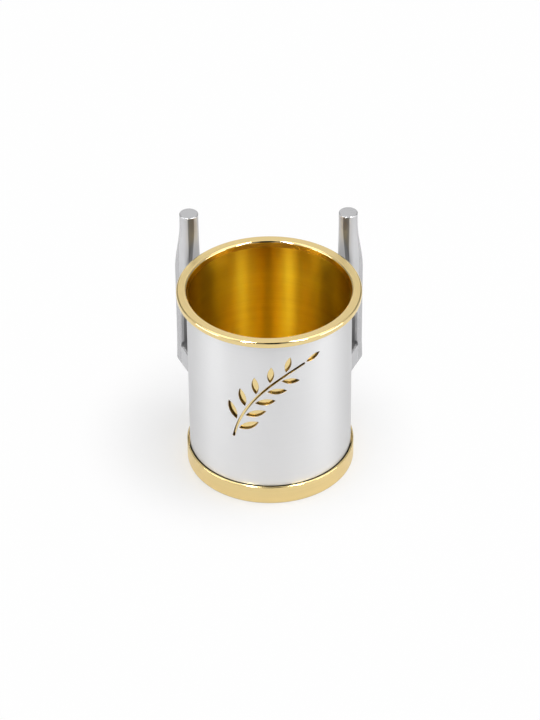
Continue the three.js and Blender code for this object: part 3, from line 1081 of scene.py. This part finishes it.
# cards stand for the unlit parts of the room. Azimuth 0 is the camera's side of the cup and 90
# is to its right, distance is from the cup's foot, and size is width and height.
cards = {
    "frontCard": {
        "azimuth": 4, "elevation": 40, "distance": 2.4, "size": (0.62, 3.4), "colour": 0.005},
    "frontGrey": {
        "azimuth": -3, "elevation": 40, "distance": 2.6, "size": (2.1, 3.2), "colour": 0.33},
    "leftRearCard": {
        "azimuth": -134, "elevation": 20, "distance": 2.4, "size": (2.0, 1.7), "colour": 0.45},
    "rightRearCard": {
        "azimuth": 134, "elevation": 20, "distance": 2.4, "size": (2.0, 1.7), "colour": 0.45},
}

# the strips and fills only shine in the metal, and the floor's fill only lights
lamps = {
    "leftSoftbox": {"azimuth": -74, "elevation": 7, "size": (0.85, 0.4), "level": 6.0},
    "rightSoftbox": {"azimuth": 74, "elevation": 7, "size": (0.85, 0.4), "level": 6.0},
    "leftHigh": {
        "azimuth": -98, "elevation": 65, "distance": 1.6, "size": (0.45, 0.9), "level": 1.6},
    "rightHigh": {
        "azimuth": 98, "elevation": 65, "distance": 1.6, "size": (0.45, 0.9), "level": 1.6},
    "leftFill": {
        "azimuth": -60, "elevation": 40, "size": (0.6, 0.9), "level": 1.0, "diffuse": False},
    "rightFill": {
        "azimuth": 60, "elevation": 40, "size": (0.6, 0.9), "level": 1.0, "diffuse": False},
    "leftStrip": {
        "azimuth": -31, "elevation": 50, "size": (0.13, 1.0), "level": 40, "diffuse": False},
    "rightStrip": {
        "azimuth": 43, "elevation": 50, "size": (0.1, 1.0), "level": 42, "diffuse": False},
    "backPanel": {
        "azimuth": 180, "elevation": 34, "distance": 2.6, "size": (3.0, 1.8), "level": 0.22},
    "overhead": {
        "azimuth": 180, "elevation": 72, "distance": 2.0, "size": (1.6, 0.9), "level": 0.4},
    "floorFill": {
        "azimuth": 115, "elevation": 58, "distance": 2.5, "size": (2.4, 2.4), "level": 0.85,
        "gloss": False},
}


def stageDirection(place):
    # level, the azimuth's sine and minus its cosine, both times the elevation's cosine, and its
    # sine upwards
    azimuth, elevation = math.radians(place["azimuth"]), math.radians(place["elevation"])
    return Vector((
        math.sin(azimuth) * math.cos(elevation),
        -math.cos(azimuth) * math.cos(elevation),
        math.sin(elevation),
    ))


def stageMaterial(name, colour, otherShader, makeFactor):
    # plain and diffuse, and another shader as far as the factor says
    material = bpy.data.materials.new(name)
    material.use_nodes = True
    tree = material.node_tree
    tree.nodes.remove(tree.nodes["Principled BSDF"])
    diffuse = tree.nodes.new("ShaderNodeBsdfDiffuse")
    diffuse.inputs["Color"].default_value = (*colour, 1)
    mix = tree.nodes.new("ShaderNodeMixShader")
    path = tree.nodes.new("ShaderNodeLightPath")
    link(tree, makeFactor(tree, path.outputs), mix.inputs[0])
    link(tree, diffuse.outputs[0], mix.inputs[1])
    link(tree, tree.nodes.new(otherShader).outputs[0], mix.inputs[2])
    link(tree, mix.outputs[0], tree.nodes["Material Output"].inputs["Surface"])
    return material


def floorLift(tree, rays):
    # the camera sees the floor lifted towards white, more so away from the cup, and
    # reflections see it lifted a little
    away = tree.nodes.new("ShaderNodeVectorMath")
    away.operation = "DISTANCE"
    link(tree, tree.nodes.new("ShaderNodeTexCoord").outputs["Object"], away.inputs[0])
    away.inputs[1].default_value = stage["shadowMiddle"]
    lift = mapRange(
        tree, away.outputs["Value"], stage["floorWhiteReach"], stage["floorWhite"], "SMOOTHSTEP")
    direct = product(tree, rays["Is Camera Ray"], lift)
    mirrored = product(tree, rays["Is Glossy Ray"], stage["floorGlossWhite"])
    return mathNode(tree, "ADD", direct, mirrored)


def cardClearness(tree, rays):
    # a card is clear to the camera
    return rays["Is Camera Ray"]


def flatCard(name, middle, aside, upwards, material):
    # a rectangle: the middle, plus or minus its two half sides
    corners = [
        middle - aside - upwards, middle + aside - upwards,
        middle + aside + upwards, middle - aside + upwards,
    ]
    mesh = bpy.data.meshes.new(name)
    mesh.from_pydata([tuple(corner) for corner in corners], [], [(0, 1, 2, 3)])
    mesh.materials.append(material)
    card = bpy.data.objects.new(name, mesh)
    scene.collection.objects.link(card)


def makeFloor():
    half = stage["floorSize"] / 2
    material = stageMaterial(
        "paleFloor", stage["floorColour"], "ShaderNodeEmission", floorLift)
    flatCard("floor", Vector(), Vector((half, 0, 0)), Vector((0, half, 0)), material)


def makeCards():
    # each card faces the cup's foot: its width is level, and its height is square to both
    for name, card in cards.items():
        towards = stageDirection(card)
        aside = towards.cross(Vector((0, 0, 1))).normalized() * card["size"][0] / 2
        upwards = aside.cross(towards).normalized() * card["size"][1] / 2
        material = stageMaterial(
            name, [card["colour"]] * 3, "ShaderNodeBsdfTransparent", cardClearness)
        flatCard(name, towards * card["distance"], aside, upwards, material)


def makeLamps():
    # power is the level times pi times the area, so a level means the same brightness at any size
    for name, lamp in lamps.items():
        width, height = lamp["size"]
        data = bpy.data.lights.new(name, "AREA")
        data.shape = "RECTANGLE"
        data.size, data.size_y = width, height
        data.energy = lamp["level"] * math.pi * width * height
        towards = stageDirection(lamp)
        source = bpy.data.objects.new(name, data)
        source.location = towards * lamp.get("distance", stage["lampDistance"])
        source.rotation_euler = towards.to_track_quat("Z", "Y").to_euler()
        source.visible_diffuse = lamp.get("diffuse", True)
        source.visible_glossy = lamp.get("gloss", True)
        scene.collection.objects.link(source)


def makeWorld():
    # white to the camera, and an even plain level to everything else
    world = bpy.data.worlds.new("evenWorld")
    scene.world = world
    world.use_nodes = True
    tree = world.node_tree
    background = tree.nodes["Background"]
    background.inputs["Color"].default_value = (1, 1, 1, 1)
    path = tree.nodes.new("ShaderNodeLightPath")
    level = product(tree, path.outputs["Is Camera Ray"], 1 - stage["worldLevel"])
    link(tree, mathNode(tree, "ADD", level, stage["worldLevel"]), background.inputs["Strength"])


makeFloor()
makeCards()
makeLamps()
makeWorld()
print("stage lit")
